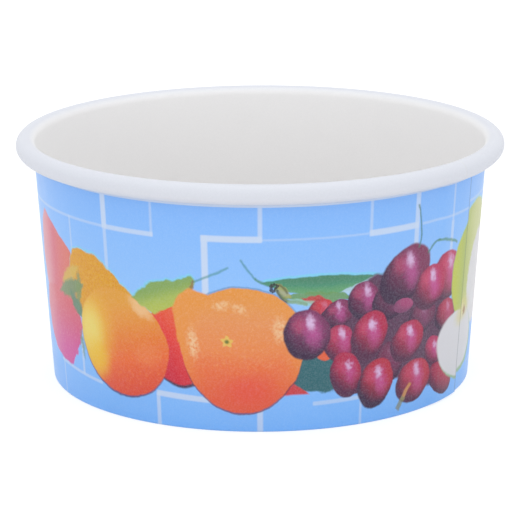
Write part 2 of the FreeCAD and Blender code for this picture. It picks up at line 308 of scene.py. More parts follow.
def floor_disc(materials):
    """The floor: a disc, slightly domed, whose edge is drawn down as a skirt."""
    top = FLOOR_RECESS + FLOOR_BOARD
    bend_height = top - FLOOR_BEND
    seated = BOARD + FILM
    centre = (wall_radius(bend_height, seated + FLOOR_BEND), bend_height)
    outer_end = (wall_radius(seated, seated), seated)
    inner_end = moved(outer_end, OUT_OF_WALL, -FLOOR_BOARD)
    runs = [
        line((0.0, top), (centre[0], top), FLOOR_STEPS),
        arc(centre, FLOOR_BEND, math.pi / 2, RIGHT, BEND_STEPS),
        line(moved(centre, OUT_OF_WALL, FLOOR_BEND), outer_end, SKIRT_STEPS),
        line(outer_end, inner_end, 1),
        line(inner_end, moved(centre, OUT_OF_WALL, FLOOR_BEND - FLOOR_BOARD), SKIRT_STEPS),
        arc(centre, FLOOR_BEND - FLOOR_BOARD, RIGHT, math.pi / 2, BEND_STEPS),
        line((centre[0], FLOOR_RECESS), (0.0, FLOOR_RECESS), FLOOR_STEPS),
    ]
    section = [point for points in runs for point in points[:-1]] + [runs[-1][-1]]

    def risen(radius, height):
        return height + FLOOR_DOME * (1 - smooth(radius / centre[0]))

    vertices = [placed(0.0, risen(*section[0]), 0.0), placed(0.0, risen(*section[-1]), 0.0)]
    ring = section[1:-1]
    for column in range(FLOOR_COLUMNS):
        angle = column * 360 / FLOOR_COLUMNS
        for radius, height in ring:
            vertices.append(placed(radius, risen(radius, height), angle))
    faces = []
    for column in range(FLOOR_COLUMNS):
        here = 2 + column * len(ring)
        there = 2 + (column + 1) % FLOOR_COLUMNS * len(ring)
        faces.append([0, here, there])
        for row in range(len(ring) - 1):
            faces.append([here + row, here + row + 1, there + row + 1, there + row])
        faces.append([1, there + len(ring) - 1, here + len(ring) - 1])
    return finished_mesh("floor_disc", vertices, faces, materials, [0] * len(faces))


# Node trees. Every helper adds its nodes in the order in which they are worked out.


def ink(red, green, blue):
    """A colour written as on a screen, 0 to 255, as the linear values that a node takes."""
    values = [c / 255 for c in (red, green, blue)]
    return tuple(v / 12.92 if v <= 0.04045 else ((v + 0.055) / 1.055) ** 2.4 for v in values) + (1.0,)


def put(tree, kind, inputs=None, **settings):
    """Adds a node with these settings, and links or sets its inputs."""
    node = tree.nodes.new("ShaderNode" + kind)
    for name, value in settings.items():
        setattr(node, name, value)
    for key, value in (inputs or {}).items():
        if isinstance(value, bpy.types.NodeSocket):
            tree.links.new(value, node.inputs[key])
        else:
            node.inputs[key].default_value = value
    return node


def calc(tree, operation, *values):
    return put(tree, "Math", dict(enumerate(values)), operation=operation).outputs[0]


def vector(tree, operation, *values):
    node = put(tree, "VectorMath", dict(enumerate(values)), operation=operation)
    return node.outputs["Value" if operation in ("LENGTH", "DOT_PRODUCT") else "Vector"]


def fade(tree, value, nothing, full):
    """0 where value is at nothing, 1 where it is at full, and a soft step between."""
    inputs = {"Value": value, "From Min": nothing, "From Max": full}
    return put(tree, "MapRange", inputs, interpolation_type="SMOOTHSTEP").outputs[0]


def blend(tree, factor, under, over):
    inputs = {0: factor, 6: under, 7: over}
    return put(tree, "Mix", inputs, data_type="RGBA").outputs[2]


def ramp(tree, value, *stops):
    node = put(tree, "ValToRGB", {0: value})
    elements = node.color_ramp.elements
    while len(elements) < len(stops):
        elements.new(0.5)
    for element, (position, colour) in zip(elements, stops):
        element.position = position
        element.color = colour
    return node.outputs[0]


def noise(tree, point, scale, detail=2.0, roughness=0.5):
    inputs = {"Vector": point, "Scale": scale, "Detail": detail, "Roughness": roughness}
    return put(tree, "TexNoise", inputs)


def scaled(direction, size):
    return (direction[0] / size, direction[1] / size, 0.0)


def axes(turn):
    """The directions along and across something that is turned by so many degrees."""
    c, s = math.cos(math.radians(turn)), math.sin(math.radians(turn))
    return (c, s), (-s, c)


def measure(tree, point, centre, direction, size):
    """How far the point lies from the centre in a direction, in sizes."""
    reading = vector(tree, "DOT_PRODUCT", point, scaled(direction, size))
    return calc(tree, "SUBTRACT", reading, (centre[0] * direction[0] + centre[1] * direction[1]) / size)


def local(tree, point, centre, half, turn=0.0):
    """The point as an ellipse sees it: its centre at 0 and its edge at a length of 1."""
    if not turn:
        inverse = (1 / half[0], 1 / half[1], 0.0)
        return vector(tree, "MULTIPLY_ADD", point, inverse, [-c * k for c, k in zip((*centre, 0.0), inverse)])
    readings = [measure(tree, point, centre, d, h) for d, h in zip(axes(turn), half)]
    return put(tree, "CombineXYZ", {0: readings[0], 1: readings[1]}).outputs[0]


def part_of(tree, point, axis):
    """The first or second number of a point, for axis 0 or 1."""
    return vector(tree, "DOT_PRODUCT", point, (1.0 - axis, float(axis), 0.0))


def spot(tree, point, centre, half, turn=0.0, soft=0.1):
    """Mask of a soft ellipse. Soft is a share of its size."""
    distance = vector(tree, "LENGTH", local(tree, point, centre, half, turn))
    return fade(tree, distance, 1 + soft, 1 - soft)


def run_of(tree, point, start, end, width, bow):
    """Where a point is along and across a strip from start to end, from -1 to 1, and the strip's length."""
    length = math.dist(start, end)
    turn = math.degrees(math.atan2(end[1] - start[1], end[0] - start[0]))
    middle = [(a + b) / 2 for a, b in zip(start, end)]
    ahead, left = axes(turn)
    along = measure(tree, point, middle, ahead, length / 2)
    hump = calc(tree, "MULTIPLY_ADD", calc(tree, "MULTIPLY", along, along), -1.0, 1.0)
    across = measure(tree, point, middle, left, width / 2)
    if bow:
        across = calc(tree, "MULTIPLY_ADD", hump, -2 * bow / width, across)
    return along, across, hump, length


def stroke(tree, point, start, end, width, bow=0.0, soft=0.22):
    """Mask of a line from start to end, which bows to its left by a distance."""
    along, across, _, length = run_of(tree, point, start, end, width, bow)
    side = fade(tree, calc(tree, "ABSOLUTE", across), 1 + 2 * soft / width, 1 - 2 * soft / width)
    ends = fade(tree, calc(tree, "ABSOLUTE", along), 1 + 2 * soft / length, 1 - 2 * soft / length)
    return calc(tree, "MULTIPLY", side, ends)


def leaf(tree, point, start, end, width, bow=0.0, soft=0.2):
    """Mask of a pointed leaf, and where the point is across it, from -1 to 1."""
    _, across, hump, _ = run_of(tree, point, start, end, width, bow)
    edge = calc(tree, "SUBTRACT", calc(tree, "ABSOLUTE", across), hump)
    return fade(tree, edge, 2 * soft / width, -2 * soft / width), across


def patch(tree, point, corners, rounding=0.6, soft=0.26):
    """Mask of a convex shape whose corners are given anticlockwise."""
    distance = None
    for (x, y), (next_x, next_y) in zip(corners, corners[1:] + corners[:1]):
        length = math.hypot(next_x - x, next_y - y)
        inward = ((y - next_y) / length, (next_x - x) / length, 0.0)
        offset = inward[0] * x + inward[1] * y
        side = calc(tree, "SUBTRACT", vector(tree, "DOT_PRODUCT", point, inward), offset)
        if distance is None:
            distance = side
        else:
            distance = calc(tree, "SMOOTH_MIN", distance, side, rounding)
    return fade(tree, distance, -soft, soft)


# Inks of the print
# The sky's middle ink is lighter than its low and top inks: a painted reflection of a band of light across
# the wall's middle height.
SKY_LOW, SKY_MID, SKY_TOP = ink(120, 179, 243), ink(142, 190, 242), ink(126, 178, 242)
TILE_LINE = ink(196, 211, 232)
UNDERLINE = ink(70, 50, 98)
HALO = ink(112, 212, 222)
GREEN, TEAL = ink(70, 138, 106), ink(44, 98, 104)
GRAPE_RED, GRAPE_DARK = ink(172, 34, 70), ink(122, 42, 82)
PLUM, DEEP_PLUM = ink(80, 30, 64), ink(56, 28, 60)
BLOOM, STREAK = ink(212, 178, 212), ink(192, 84, 150)
PALE_PEEL = ink(236, 206, 160)
# The first ink is the unprinted board under the rim, darker than the white board as painted shade there; the
# second is the ink of the painted shadow along the seam.
BARE_BOARD_IN_SHADE, SEAM_SHADOW_INK = ink(196, 208, 228), ink(70, 74, 84)

# Top edge of the print, and how far the edges of its shapes stray, in millimetres
TOP_OF_PRINT = 43.72
EDGE_BLUR = 0.15
STRAY, RAGGED_STRAY, FRAYED_STRAY = 0.8, 2.2, 1.6

# How far a fruit's halo shows above it and its dark line below it, in millimetres
HALO_RISE, PATCH_HALO_RISE, UNDERLINE_DROP = 0.3, 0.4, 0.36

# Painted shadow along the seam, a thin dark line beside the outer layer's cut edge: how far from the edge it
# starts and is full, in millimetres, and its strength
SEAM_SHADOW_START, SEAM_SHADOW_FULL, SEAM_SHADOW_STRENGTH = 0.5, 0.15, 0.4

# Tile lines of the print: start, end, width and strength
TILE_LINES = [
    ((-67.6, 37.6), (-31.1, 37.6), 0.5, 0.5),
    ((-31.1, 37.6), (-20.1, 37.6), 0.9, 0.8),
    ((-10.8, 37.7), (0.2, 37.7), 1.2, 0.95),
    ((0.0, 37.6), (20.4, 37.6), 0.4, 0.4),
    ((20.4, 37.6), (31.6, 37.6), 1.2, 0.9),
    ((32.6, 37.6), (48.4, 37.6), 0.5, 0.45),
    ((48.4, 37.6), (67.6, 37.6), 0.5, 0.5),
    ((-41.5, 31.0), (-41.5, 37.8), 0.5, 0.5),
    ((-31.1, 37.2), (-31.1, 44.0), 1.2, 0.9),
    ((-31.1, 28.0), (-31.1, 37.2), 0.8, 0.6),
    ((-20.4, 37.2), (-20.4, 44.0), 0.5, 0.5),
    ((-10.2, 26.6), (-10.2, 38.2), 1.2, 0.95),
    ((-0.1, 37.2), (-0.1, 44.0), 0.8, 0.75),
    ((20.7, 37.6), (20.7, 44.0), 0.6, 0.55),
    ((31.2, 33.0), (31.2, 44.0), 1.1, 0.75),
    ((41.5, 36.6), (41.5, 44.0), 0.6, 0.5),
    ((41.5, 29.0), (41.5, 36.6), 0.9, 0.65),
    ((-50.1, 7.1), (-34.5, 5.9), 0.6, 0.65),
    ((-49.2, -8.0), (-49.2, 7.1), 0.5, 0.45),
    ((-40.4, 6.4), (-40.4, 12.5), 0.7, 0.6),
    ((-20.8, 6.5), (-8.0, 6.0), 1.1, 0.85),
    ((-20.5, -8.0), (-20.5, 6.5), 0.8, 0.7),
    ((-0.2, -8.0), (-0.2, 6.0), 1.1, 0.75),
    ((10.0, 5.3), (19.8, 5.6), 0.8, 0.6),
    ((19.9, -8.0), (19.9, 5.6), 0.5, 0.55),
    ((56.0, 3.4), (67.6, 3.4), 0.5, 0.45),
    ((60.5, -8.0), (60.5, 3.4), 0.6, 0.5),
    ((62.0, 37.6), (62.0, 44.0), 0.7, 0.5),
]

# Grapes, from the back of the bunch to its front: centre, half sizes, turn, body, shade and gleam
GRAPES = [
    ((11.4, 23.2), (2.8, 2.6), 0, ink(196, 52, 60), PLUM, 0.2),
    ((14.3, 22.4), (3.6, 2.7), 30, GRAPE_DARK, DEEP_PLUM, 0.8),
    ((41.0, 25.9), (4.5, 5.0), 0, ink(184, 44, 78), PLUM, 0.75),
    ((41.3, 17.8), (3.4, 3.4), 0, GRAPE_RED, DEEP_PLUM, 0.3),
    ((19.8, 24.7), (3.4, 3.7), 0, GRAPE_DARK, DEEP_PLUM, 0.85),
    ((25.4, 23.6), (3.9, 3.6), 0, ink(104, 44, 78), DEEP_PLUM, 0.15),
    ((34.0, 18.9), (4.0, 3.3), 30, ink(112, 50, 82), DEEP_PLUM, 0.2),
    ((26.0, 11.6), (3.4, 4.0), 0, ink(112, 42, 76), DEEP_PLUM, 0.1),
    ((29.2, 28.4), (6.8, 4.9), 35, ink(122, 44, 82), DEEP_PLUM, 0.9),
    ((35.9, 24.6), (4.8, 4.1), 40, ink(178, 44, 84), PLUM, 1.0),
    ((28.9, 22.3), (2.4, 1.5), 0, ink(160, 66, 110), ink(124, 60, 98), 0.0),
    ((15.0, 16.8), (3.0, 3.7), 0, GRAPE_RED, PLUM, 0.85),
    ((8.6, 19.0), (5.0, 4.5), -76, ink(118, 46, 88), DEEP_PLUM, 1.0),
    ((21.2, 17.6), (4.9, 3.8), 68, GRAPE_RED, PLUM, 0.95),
    ((30.4, 14.9), (4.5, 3.8), 35, GRAPE_RED, PLUM, 0.95),
    ((37.9, 11.4), (3.1, 2.5), -75, ink(176, 48, 90), PLUM, 0.7),
    ((16.5, 10.5), (4.6, 3.2), -80, GRAPE_RED, PLUM, 0.8),
    ((41.2, 5.2), (4.5, 3.0), -37, GRAPE_RED, PLUM, 0.0),
    ((23.1, 7.8), (5.0, 3.9), 75, ink(176, 34, 58), DEEP_PLUM, 0.95),
    ((32.7, 6.5), (4.8, 4.3), 20, ink(178, 38, 62), PLUM, 0.8),
]


def new_group(name, sockets):
    """A node group with these inputs and one colour output, and the sockets that give its inputs."""
    group = bpy.data.node_groups.new(name, "ShaderNodeTree")
    for socket_name, kind in sockets:
        group.interface.new_socket(name=socket_name, in_out="INPUT", socket_type="NodeSocket" + kind)
    group.interface.new_socket(name="Colour", in_out="OUTPUT", socket_type="NodeSocketColor")
    return group, group.nodes.new("NodeGroupInput").outputs


def give(group, colour):
    """Ends a group with the colour that it gives out."""
    group.links.new(colour, group.nodes.new("NodeGroupOutput").inputs[0])
    return group


def use(tree, group, inputs):
    """Places a group's node in a tree, and returns its colour."""
    return put(tree, "Group", inputs, node_tree=group).outputs[0]


def tint(tree, colour, mask, strength, over):
    return blend(tree, calc(tree, "MULTIPLY", mask, strength), colour, over)


def underline(tree, under, point, centre, half, turn=0.0, soft=0.03, halo=0.5, dark=0.8):
    """What shows round a fruit's edge: a cyan halo above it and a thin dark line below it."""
    if halo:
        above = spot(tree, point, (centre[0], centre[1] + HALO_RISE), half, turn, soft)
        under = tint(tree, under, above, halo, HALO)
    below = spot(tree, point, (centre[0], centre[1] - UNDERLINE_DROP), half, turn, soft)
    return tint(tree, under, below, dark, UNDERLINE)


def grape_group():
    """One grape: dark below and at its edges, with a pale bloom that runs down into a magenta streak."""
    kinds = {"Under": "Color", "Point": "Vector", "Frayed": "Vector", "Centre": "Vector", "Along": "Vector"}
    kinds |= {"Across": "Vector", "Upright": "Vector", "Body": "Color", "Shade": "Color", "Gleam": "Float"}
    group, given = new_group("grape", kinds.items())
    away = vector(group, "SUBTRACT", given["Point"], given["Centre"])
    along = vector(group, "DOT_PRODUCT", away, given["Along"])
    across = vector(group, "DOT_PRODUCT", away, given["Across"])
    squares = calc(group, "MULTIPLY_ADD", along, along, calc(group, "MULTIPLY", across, across))
    upright = vector(group, "SUBTRACT", given["Frayed"], given["Centre"])
    upright = vector(group, "MULTIPLY", upright, given["Upright"])
    light_from = (0.32, 0.52, 0.0)
    lit = vector(group, "DOT_PRODUCT", upright, light_from)
    lit = calc(group, "MULTIPLY_ADD", calc(group, "MULTIPLY", squares, squares), -0.5, lit)
    colour = blend(group, fade(group, lit, -0.8, 0.35), given["Shade"], given["Body"])
    side_gleam = spot(group, upright, (-0.3, 0.42), (0.3, 0.34), 30, 0.8)
    colour = tint(group, colour, calc(group, "MULTIPLY", side_gleam, given["Gleam"]), 0.4, ink(214, 84, 120))
    streak = spot(group, upright, (0.26, 0.14), (0.32, 0.6), 10, 0.8)
    colour = tint(group, colour, calc(group, "MULTIPLY", streak, given["Gleam"]), 0.7, STREAK)
    bloom = spot(group, upright, (0.16, 0.54), (0.16, 0.27), 14, 0.85)
    colour = blend(group, calc(group, "MULTIPLY", bloom, given["Gleam"]), colour, BLOOM)
    return give(group, blend(group, fade(group, squares, 1.1, 0.9), given["Under"], colour))


def egg(tree, point, centre, half):
    """How far out a point of an egg lies, 1 at its edge, and how high. The egg is narrow at its foot."""
    narrowing = 0.11
    q = local(tree, point, centre, half)
    height = part_of(tree, q, 1)
    wide = calc(tree, "MULTIPLY", part_of(tree, q, 0), calc(tree, "MULTIPLY_ADD", height, -narrowing, 1.0))
    return calc(tree, "MULTIPLY_ADD", wide, wide, calc(tree, "MULTIPLY", height, height)), height


def draw_tiles(t, colour, at):
    """The blue ground, which covers what is under it, and its pale tile lines."""
    # Lighter at mid height: a painted reflection of a band of light, on the print's blue
    share = calc(t, "DIVIDE", at["up"], CUP_HEIGHT)
    colour = ramp(t, share, (0.0, SKY_LOW), (0.5, SKY_MID), (0.95, SKY_TOP))
    for start, end, width, strength in TILE_LINES:
        colour = tint(t, colour, stroke(t, at["Exact"], start, end, width), strength, TILE_LINE)
    return colour


def draw_left_fruit(t, colour, at):
    """Two pink fruits and an orange one behind, with a torn green leaf between them."""
    point, ragged, peel = at["Point"], at["Ragged"], at["Peel"]
    pale = fade(t, peel, 0.5, 0.8)
    corners = [(-52, 17.5), (-45, 17.5), (-40.5, 21), (-39.5, 27), (-40.8, 29.6), (-42.4, 30.9)]
    corners += [(-47.5, 33.7), (-53.6, 36.7), (-55.8, 34.8), (-57.4, 31), (-58, 26), (-56.4, 20.6)]
    body = ramp(
        t,
        fade(t, at["across"], -57.0, -42.0),
        (0.0, ink(214, 140, 152)),
        (0.5, ink(208, 96, 112)),
        (1.0, ink(214, 112, 96)),
    )
    body = tint(t, body, pale, 0.3, ink(226, 150, 130))
    colour = blend(t, patch(t, point, corners, 1.4), colour, body)

    corners = [(-38.5, 17), (-25, 18), (-24.6, 24.4), (-31, 29.5), (-34.3, 31.6), (-37.8, 32)]
    corners += [(-41.2, 31.2), (-43, 27), (-41, 20)]
    halo = patch(t, ragged, [(x, y + PATCH_HALO_RISE) for x, y in corners])
    colour = tint(t, colour, halo, 0.55, HALO)
    body = ramp(t, fade(t, peel, 0.3, 0.75), (0.0, ink(212, 142, 0)), (1.0, ink(219, 160, 24)))
    colour = blend(t, patch(t, ragged, corners), colour, body)
    crease = stroke(t, ragged, (-37.5, 22.4), (-27.5, 25.0), 0.7, 0.8, 0.5)
    colour = tint(t, colour, crease, 0.5, ink(214, 116, 36))

    corners = [(-52.5, 8.0), (-45.2, 7.2), (-41.4, 10.8), (-39.8, 15.8), (-40.8, 20), (-45, 21.6)]
    corners += [(-52, 22.2), (-56.4, 20.4), (-57.8, 16), (-56, 10.6)]
    body = ramp(
        t,
        fade(t, at["up"], 8.0, 21.0),
        (0.0, ink(204, 72, 150)),
        (0.45, ink(204, 84, 128)),
        (1.0, ink(208, 92, 102)),
    )
    body = tint(t, body, fade(t, at["across"], -48.0, -57.0), 0.45, ink(214, 140, 152))
    body = tint(t, body, pale, 0.35, ink(226, 146, 150))
    colour = blend(t, patch(t, ragged, corners, 1.4), colour, body)
    for start, end, width, green, strength in [
        ((-46.4, 23.6), (-39.8, 27.8), 2.6, ink(206, 172, 72), 0.9),
        ((-48.0, 21.4), (-38.4, 24.8), 3.4, ink(112, 138, 96), 0.95),
        ((-39.8, 27.0), (-40.4, 20.0), 1.8, ink(122, 142, 88), 0.9),
        ((-43.4, 22.4), (-38.8, 17.6), 2.6, ink(92, 130, 104), 0.95),
        ((-40.6, 15.0), (-39.8, 9.6), 1.0, ink(110, 140, 110), 0.8),
    ]:
        mask, _ = leaf(t, at["Frayed"], start, end, width, soft=0.5)
        colour = tint(t, colour, mask, strength, green)
    return colour


def draw_tangerines(t, colour, at):
    """A red fruit behind, the left tangerine, its leaf, and the large tangerine over a dark leaf."""
    point, ragged, frayed, peel = at["Point"], at["Ragged"], at["Frayed"], at["Peel"]
    pits = fade(t, peel, 0.5, 0.8)
    rough = calc(t, "MULTIPLY_ADD", peel, 0.3, -0.15)

    behind = ((-15.6, 17.2), (6.8, 8.5))
    left = ((-28.9, 15.2), (11.2, 10.2), -28)
    centre, half = (-3.6, 16.0), (11.8, 12.3)
    squares, _ = egg(t, point, (centre[0], centre[1] + HALO_RISE), half)
    colour = tint(t, colour, fade(t, squares, 1.04, 0.98), 0.7, ink(92, 136, 178))
    colour = underline(t, colour, point, *left, soft=0.02, halo=0.0, dark=0.9)
    colour = underline(t, colour, point, *behind)
    shadow = spot(t, point, (-15.3, 16.7), (6.8, 8.6), soft=0.03)
    colour = tint(t, colour, shadow, 0.95, ink(66, 32, 60))
    body = ramp(
        t,
        fade(t, calc(t, "MULTIPLY_ADD", at["across"], 0.9, at["up"]), -8.0, 12.0),
        (0.0, ink(198, 28, 52)),
        (0.5, ink(220, 56, 46)),
        (1.0, ink(226, 92, 46)),
    )
    colour = blend(t, spot(t, point, *behind, soft=0.03), colour, body)

    q = local(t, point, *left[:2])
    height = vector(t, "DOT_PRODUCT", q, (-0.25, 1.0, 0.0))
    body = ramp(
        t,
        fade(t, calc(t, "ADD", height, rough), -1.15, 1.15),
        (0.0, ink(216, 70, 42)),
        (0.25, ink(227, 101, 43)),
        (0.5, ink(224, 118, 38)),
        (0.75, ink(222, 140, 46)),
        (1.0, ink(222, 154, 50)),
    )
    speck = fade(t, peel, 0.3, 0.62)
    body = tint(t, body, fade(t, height, 0.5, 0.95), 0.9, ink(218, 152, 42))
    body = tint(t, body, spot(t, q, (-0.76, 0.0), (0.46, 0.66), -10, 0.7), 0.9, ink(228, 184, 50))
    body = tint(t, body, spot(t, q, (-0.74, 0.08), (0.26, 0.42), -6, 0.7), 0.85, ink(228, 208, 106))
    body = tint(t, body, spot(t, q, (-0.6, -0.42), (0.26, 0.32), 14, 0.7), 0.7, ink(230, 186, 30))
    body = tint(t, body, spot(t, frayed, (-23.6, 22.8), (2.8, 1.3), -35, 0.6), 0.5, PALE_PEEL)
    body = tint(t, body, spot(t, frayed, (-22.6, 13.8), (2.4, 2.0), 0, 0.7), 0.3, ink(228, 140, 80))
    body = tint(t, body, pits, 0.25, ink(236, 170, 92))
    colour = blend(t, spot(t, point, *left, 0.02), colour, body)

    corners = [(-25.6, 24.6), (-20.5, 21.8), (-15.4, 24.8), (-13.2, 27), (-12.2, 29.2), (-13.2, 30.2)]
    corners += [(-18.5, 28.9), (-22.4, 27.4)]
    colour = tint(t, colour, patch(t, ragged, [(x, y + PATCH_HALO_RISE) for x, y in corners]), 0.55, HALO)
    body = ramp(
        t,
        fade(t, calc(t, "MULTIPLY_ADD", at["across"], -0.35, at["up"]), 29.0, 34.5),
        (0.0, ink(176, 186, 78)),
        (0.5, ink(162, 180, 82)),
        (1.0, ink(128, 160, 84)),
    )
    body = tint(t, body, pits, 0.35, ink(126, 156, 66))
    colour = blend(t, patch(t, ragged, corners, 0.4), colour, body)
    colour = tint(t, colour, stroke(t, point, (-12.8, 29.0), (-5.8, 32.4), 0.4, -0.2), 0.7, ink(70, 140, 136))
    colour = tint(t, colour, stroke(t, frayed, (-12.6, 29.4), (-13.2, 26.6), 0.6), 0.7, ink(142, 92, 60))

    corners = [(2.0, 7.4), (9.2, 7.2), (6.8, 10.2), (3.0, 10.4)]
    colour = blend(t, patch(t, point, corners, 0.2), colour, ink(196, 58, 62))
    corners = [(6.0, 9.4), (8.6, 7.8), (14.4, 7.3), (15.6, 12.5), (12.4, 14.8), (5.0, 14.8), (4.0, 12.0)]
    colour = blend(t, patch(t, ragged, corners), colour, TEAL)
    squares, _ = egg(t, point, (centre[0], centre[1] - 0.3), half)
    under = calc(t, "MULTIPLY", fade(t, squares, 1.04, 0.98), fade(t, at["up"], 14.0, 9.0))
    colour = tint(t, colour, under, 0.85, ink(104, 46, 74))
    squares, height = egg(t, point, centre, half)
    mask = fade(t, squares, 1.03, 0.97)
    corners = [(-15.8, 17), (-8, 17), (-8, 26.2), (-13.6, 27.9), (-15.8, 26), (-16.9, 23.9), (-16.6, 21.4)]
    mask = calc(t, "MAXIMUM", mask, patch(t, point, corners))
    body = ramp(
        t,
        fade(t, calc(t, "ADD", height, rough), -1.1, 1.1),
        (0.0, ink(220, 84, 52)),
        (0.3, ink(226, 108, 56)),
        (0.5, ink(227, 131, 67)),
        (0.8, ink(224, 142, 78)),
        (1.0, ink(222, 146, 62)),
    )
    rim = calc(t, "MULTIPLY", fade(t, squares, 0.4, 1.0), fade(t, height, -0.8, 0.1))
    body = tint(t, body, rim, 0.6, ink(226, 144, 48))
    body = tint(t, body, spot(t, frayed, (-2.4, 8.2), (4.2, 2.6), 0, 0.8), 0.75, ink(224, 76, 55))
    for place, size, turn, strength in [
        ((-7.3, 24.8), (1.5, 0.8), 10, 0.6),
        ((-3.9, 24.2), (1.3, 0.8), -20, 0.5),
        ((-12.9, 17.2), (0.95, 2.7), 4, 0.7),
        ((3.4, 20.3), (1.1, 2.2), 0, 0.6),
    ]:
        gloss = calc(t, "MULTIPLY", spot(t, frayed, place, size, turn, 0.6), speck)
        body = tint(t, body, gloss, strength, PALE_PEEL)
    pale = calc(t, "MULTIPLY", pits, fade(t, height, -0.8, 0.1))
    body = tint(t, body, pale, 0.4, ink(238, 172, 116))
    colour = blend(t, mask, colour, body)
    star = local(t, point, (-6.3, 17.8), (1.2, 1.2))
    spin = calc(t, "MULTIPLY", calc(t, "ARCTAN2", part_of(t, star, 0), part_of(t, star, 1)), 5.0)
    reach = calc(t, "MULTIPLY_ADD", calc(t, "COSINE", spin), 0.16, 0.8)
    reach = calc(t, "SUBTRACT", vector(t, "LENGTH", star), reach)
    colour = tint(t, colour, fade(t, reach, 0.15, -0.12), 0.85, ink(222, 186, 84))
    return tint(t, colour, spot(t, point, (-6.3, 17.8), (0.42, 0.38), 0, 0.6), 0.9, ink(84, 104, 34))


def draw_bunch(t, colour, at):
    """Long leaves and twigs, and the bunch of grapes over its own dark middle."""
    point, ragged, frayed, peel = at["Point"], at["Ragged"], at["Frayed"], at["Peel"]
    mask, _ = leaf(t, point, (0.0, 29.8), (23.6, 29.4), 3.7, -0.6)
    colour = tint(t, colour, mask, 0.55, HALO)
    mask, side = leaf(t, point, (0.0, 29.3), (23.6, 28.9), 3.7, -0.6)
    body = ramp(t, fade(t, side, -0.8, 0.8), (0.0, ink(96, 156, 104)), (0.5, GREEN), (1.0, ink(70, 128, 98)))
    colour = blend(t, mask, colour, body)
    for start, end, width, green, strength in [
        ((14.6, 26.4), (25.0, 29.0), 1.7, ink(176, 204, 222), 0.85),
        ((3.6, 26.6), (18.2, 25.6), 2.4, ink(104, 148, 88), 0.95),
        ((7.6, 26.2), (13.8, 24.6), 1.9, ink(190, 46, 56), 0.9),
        ((4.8, 25.8), (11.0, 24.8), 1.1, ink(150, 198, 178), 0.7),
        ((2.8, 28.9), (5.4, 26.2), 1.5, ink(164, 160, 88), 0.85),
    ]:
        mask, _ = leaf(t, ragged, start, end, width)
        colour = tint(t, colour, mask, strength, green)
    for start, end, width, bow, twig, strength in [
        ((-3.6, 34.0), (-0.9, 30.1), 0.3, -0.2, ink(60, 130, 128), 0.75),
        ((-1.1, 30.4), (2.6, 28.5), 0.45, -0.3, ink(70, 134, 108), 0.85),
        ((2.6, 28.4), (5.2, 25.6), 0.6, -0.3, ink(112, 128, 74), 0.9),
        ((2.9, 28.0), (5.0, 25.4), 0.3, -0.3, ink(56, 52, 52), 0.7),
        ((4.9, 25.6), (8.6, 24.9), 0.6, 0.2, ink(126, 160, 126), 0.9),
        ((3.2, 28.9), (4.9, 27.2), 0.4, 0.2, ink(84, 86, 56), 0.8),
    ]:
        colour = tint(t, colour, stroke(t, point, start, end, width, bow), strength, twig)
    loop = vector(t, "LENGTH", local(t, frayed, (2.4, 28.4), (0.75, 0.75)))
    ring = calc(t, "ABSOLUTE", calc(t, "SUBTRACT", loop, 0.75))
    colour = tint(t, colour, fade(t, ring, 0.5, 0.15), 0.9, ink(40, 36, 40))

    colour = blend(t, spot(t, point, (12.2, 15.4), (1.8, 1.7), 0, 0.1), colour, ink(220, 92, 52))

    grain = ramp(t, peel, (0.35, ink(78, 42, 70)), (0.75, ink(98, 60, 88)))
    for place, size, turn in [
        ((26.8, 18.6), (12.0, 9.4), -44),
        ((35.6, 15.6), (11.2, 7.2), -73),
        ((14.8, 20.0), (4.8, 4.6), 0),
        ((18.6, 12.0), (4.4, 5.4), 0),
    ]:
        colour = blend(t, spot(t, ragged, place, size, turn, 0.04), colour, grain)
    grape = grape_group()
    for place, size, turn, body, dark, gleam in GRAPES:
        ahead, left = axes(turn)
        inputs = {
            "Under": colour,
            "Point": point,
            "Frayed": frayed,
            "Centre": (*place, 0.0),
            "Along": scaled(ahead, size[0]),
            "Across": scaled(left, size[1]),
            "Upright": (1 / size[1], 1 / size[1], 0.0),
            "Body": body,
            "Shade": dark,
            "Gleam": gleam,
        }
        colour = use(t, grape, inputs)
    for start, end, width, bow, twig, strength in [
        ((30.0, 3.2), (31.9, 6.2), 0.8, 0.2, ink(200, 142, 84), 0.85),
        ((28.6, 1.4), (30.4, 3.8), 1.1, 0.1, ink(128, 128, 92), 0.8),
        ((31.3, 41.6), (32.1, 33.2), 0.35, 0.7, ink(60, 112, 96), 0.8),
        ((34.6, 31.6), (38.0, 33.6), 0.4, 0.4, ink(66, 120, 96), 0.8),
        ((37.4, 33.4), (43.8, 31.8), 0.5, 0.4, ink(84, 134, 84), 0.75),
    ]:
        colour = tint(t, colour, stroke(t, point, start, end, width, bow), strength, twig)
    return colour


def draw_apple(t, colour, at):
    """An apple with one side cut away, and a slice of it in front."""
    point, frayed = at["Point"], at["Frayed"]
    whole = ((54.6, 24.6), (11.8, 12.4))
    colour = underline(t, colour, point, *whole)
    skin = ramp(
        t,
        fade(t, at["across"], 42.5, 56.0),
        (0.0, ink(186, 192, 62)),
        (0.3, ink(166, 180, 84)),
        (1.0, ink(190, 194, 120)),
    )
    colour = blend(t, spot(t, point, *whole, soft=0.03), colour, skin)
    colour = blend(t, spot(t, frayed, (59.4, 20.6), (7.8, 9.6), 0, 0.06), colour, ink(208, 205, 204))
    slice_shape = ((47.8, 10.6), (9.1, 6.5), -20)
    rind = ((48.4, 9.9), (9.2, 6.6), -20)
    colour = blend(t, spot(t, point, *rind, 0.05), colour, ink(140, 174, 132))
    flesh = ramp(t, fade(t, at["across"], 39.0, 56.0), (0.0, ink(208, 206, 208)), (1.0, ink(204, 203, 204)))
    colour = blend(t, spot(t, point, *slice_shape, 0.05), colour, flesh)
    colour = tint(t, colour, spot(t, frayed, (49.6, 16.0), (3.4, 2.0), 0, 0.7), 0.85, ink(206, 196, 122))
    return tint(t, colour, spot(t, frayed, (51.0, 15.4), (0.9, 0.7), 80, 0.4), 0.85, ink(156, 112, 60))


